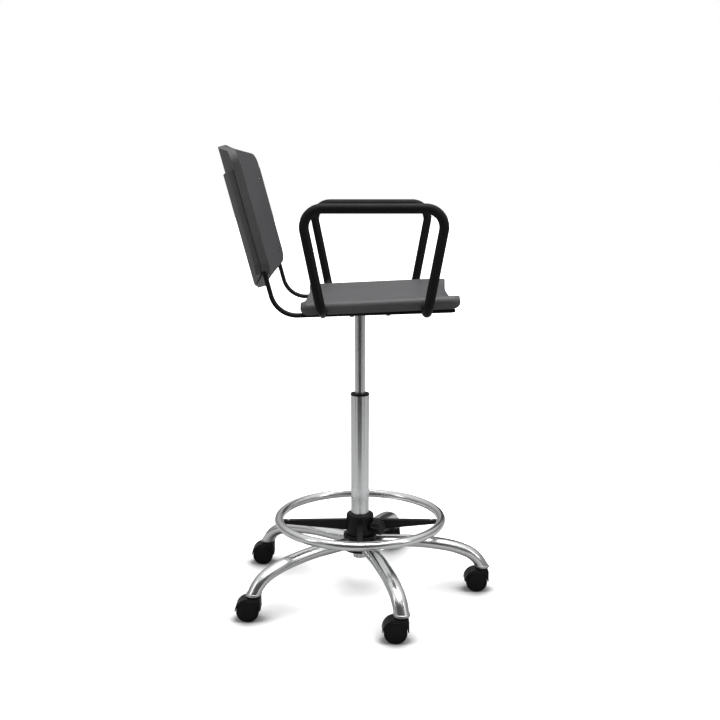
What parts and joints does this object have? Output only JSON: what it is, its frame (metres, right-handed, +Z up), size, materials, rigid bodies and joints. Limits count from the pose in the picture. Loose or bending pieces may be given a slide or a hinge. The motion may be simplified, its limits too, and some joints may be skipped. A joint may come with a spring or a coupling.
{
  "type": "swivel chair",
  "caption": "High swivel chair with a moulded plastic seat and back, tube armrests, gas-lift column, adjustable foot ring and a chromed star base on twin-wheel casters.",
  "frame": {"origin": "on the floor under the column's axis", "axes": "+Z up along the column, the sitter faces -Y, so the chair's right side is -X"},
  "size_m": [0.6957, 0.7319, 1.2266],
  "materials": {
    "chrome": "polished",
    "black_plastic": "fine-grained",
    "caster_plastic": "satin",
    "wheel_plastic": "smooth",
    "grey_plastic": "fine-grained",
    "black_steel": "powder coat",
    "steel": "zinc-plated",
    "seal_rubber": "matte"
  },
  "bodies": {
    "base": {"base_hub_core": "steel", "hub_cover_upper": "black_plastic", "hub_cover_lower": "black_plastic", "base_arm_1": "chrome", "base_arm_2": "chrome", "base_arm_3": "chrome", "base_arm_4": "chrome", "base_arm_5": "chrome", "arm_socket_plugs": "steel", "column_tube": "chrome", "guide_bush": "black_plastic", "thrust_bearing": "steel"},
    "piston": {"piston_rod": "steel", "piston_head": "steel", "rod_clip": "steel", "stop_bumper": "seal_rubber"},
    "seat": {"pressure_tube": "chrome", "rod_guide": "seal_rubber", "seat_mount": "black_steel", "frame_bolts": "steel", "frame_rail_left": "black_steel", "frame_rail_right": "black_steel", "crossbars": "black_steel", "rail_plugs": "black_plastic", "seat_shell": "grey_plastic", "seat_screws": "steel", "back_shell": "grey_plastic", "back_cover": "grey_plastic", "back_screws": "steel", "armrest_left": "black_steel", "armrest_right": "black_steel", "lever_pivot_pin": "steel"},
    "lever": {"release_lever": "black_steel", "lever_grip": "black_plastic"},
    "pin": {"release_pin": "steel"},
    "foot_ring": {"ring_tube": "chrome", "ring_spider": "black_plastic", "ring_sleeve": "black_plastic", "ring_screws": "steel"},
    "knob": {"clamp_knob": "black_plastic"},
    "caster_1": {"caster_1_hood": "caster_plastic", "caster_1_hardware": "steel"},
    "caster_1_wheel_left": {"caster_1_wheel_left": "wheel_plastic"},
    "caster_1_wheel_right": {"caster_1_wheel_right": "wheel_plastic"},
    "caster_2": {"caster_2_hood": "caster_plastic", "caster_2_hardware": "steel"},
    "caster_2_wheel_left": {"caster_2_wheel_left": "wheel_plastic"},
    "caster_2_wheel_right": {"caster_2_wheel_right": "wheel_plastic"},
    "caster_3": {"caster_3_hood": "caster_plastic", "caster_3_hardware": "steel"},
    "caster_3_wheel_left": {"caster_3_wheel_left": "wheel_plastic"},
    "caster_3_wheel_right": {"caster_3_wheel_right": "wheel_plastic"},
    "caster_4": {"caster_4_hood": "caster_plastic", "caster_4_hardware": "steel"},
    "caster_4_wheel_left": {"caster_4_wheel_left": "wheel_plastic"},
    "caster_4_wheel_right": {"caster_4_wheel_right": "wheel_plastic"},
    "caster_5": {"caster_5_hood": "caster_plastic", "caster_5_hardware": "steel"},
    "caster_5_wheel_left": {"caster_5_wheel_left": "wheel_plastic"},
    "caster_5_wheel_right": {"caster_5_wheel_right": "wheel_plastic"}
  },
  "joints": [
    {"name": "swivel", "type": "hinge", "parent": "base", "child": "piston", "pos_m": [0, 0, 0.3], "axis": [0, 0, 1], "continuous": true},
    {"name": "height", "type": "slide", "parent": "piston", "child": "seat", "axis": [0, 0, 1], "range_m": [-0.2, 0]},
    {"name": "lever_lift", "type": "hinge", "parent": "seat", "child": "lever", "pos_m": [0.045, 0, 0.824], "axis": [0, -1, 0], "range_deg": [0, 4], "stiffness_Nm_per_rad": 2},
    {"name": "pin_press", "type": "slide", "parent": "seat", "child": "pin", "axis": [0, 0, -1], "range_m": [0, 0.0035], "stiffness_N_per_m": 500},
    {"name": "ring_height", "type": "slide", "parent": "base", "child": "foot_ring", "axis": [0, 0, 1], "range_m": [0, 0.26]},
    {"name": "knob_turn", "type": "hinge", "parent": "foot_ring", "child": "knob", "pos_m": [0, 0, 0.193], "axis": [-0.5446, -0.8387, 0], "range_deg": [-360, 0]},
    {"name": "caster_1_swivel", "type": "hinge", "parent": "base", "child": "caster_1", "pos_m": [-0.32581, -0.10398, 0.07], "axis": [0, 0, 1], "continuous": true},
    {"name": "caster_1_roll_left", "type": "hinge", "parent": "caster_1", "child": "caster_1_wheel_left", "pos_m": [-0.32581, -0.08848, 0.0295], "axis": [1, 0, 0], "continuous": true},
    {"name": "caster_1_roll_right", "type": "hinge", "parent": "caster_1", "child": "caster_1_wheel_right", "pos_m": [-0.32581, -0.08848, 0.0295], "axis": [1, 0, 0], "continuous": true},
    {"name": "caster_2_swivel", "type": "hinge", "parent": "base", "child": "caster_2", "pos_m": [-0.00179, -0.34199, 0.07], "axis": [0, 0, 1], "continuous": true},
    {"name": "caster_2_roll_left", "type": "hinge", "parent": "caster_2", "child": "caster_2_wheel_left", "pos_m": [-0.00179, -0.32649, 0.0295], "axis": [1, 0, 0], "continuous": true},
    {"name": "caster_2_roll_right", "type": "hinge", "parent": "caster_2", "child": "caster_2_wheel_right", "pos_m": [-0.00179, -0.32649, 0.0295], "axis": [1, 0, 0], "continuous": true},
    {"name": "caster_3_swivel", "type": "hinge", "parent": "base", "child": "caster_3", "pos_m": [0.3247, -0.10738, 0.07], "axis": [0, 0, 1], "continuous": true},
    {"name": "caster_3_roll_left", "type": "hinge", "parent": "caster_3", "child": "caster_3_wheel_left", "pos_m": [0.3247, -0.09188, 0.0295], "axis": [1, 0, 0], "continuous": true},
    {"name": "caster_3_roll_right", "type": "hinge", "parent": "caster_3", "child": "caster_3_wheel_right", "pos_m": [0.3247, -0.09188, 0.0295], "axis": [1, 0, 0], "continuous": true},
    {"name": "caster_4_swivel", "type": "hinge", "parent": "base", "child": "caster_4", "pos_m": [0.20247, 0.27563, 0.07], "axis": [0, 0, 1], "continuous": true},
    {"name": "caster_4_roll_left", "type": "hinge", "parent": "caster_4", "child": "caster_4_wheel_left", "pos_m": [0.20247, 0.29113, 0.0295], "axis": [1, 0, 0], "continuous": true},
    {"name": "caster_4_roll_right", "type": "hinge", "parent": "caster_4", "child": "caster_4_wheel_right", "pos_m": [0.20247, 0.29113, 0.0295], "axis": [1, 0, 0], "continuous": true},
    {"name": "caster_5_swivel", "type": "hinge", "parent": "base", "child": "caster_5", "pos_m": [-0.19957, 0.27773, 0.07], "axis": [0, 0, 1], "continuous": true},
    {"name": "caster_5_roll_left", "type": "hinge", "parent": "caster_5", "child": "caster_5_wheel_left", "pos_m": [-0.19957, 0.29323, 0.0295], "axis": [1, 0, 0], "continuous": true},
    {"name": "caster_5_roll_right", "type": "hinge", "parent": "caster_5", "child": "caster_5_wheel_right", "pos_m": [-0.19957, 0.29323, 0.0295], "axis": [1, 0, 0], "continuous": true}
  ],
  "couplings": [
    {"joint": "pin_press", "follows": "lever_lift", "m_per_rad": 0.045}
  ]
}
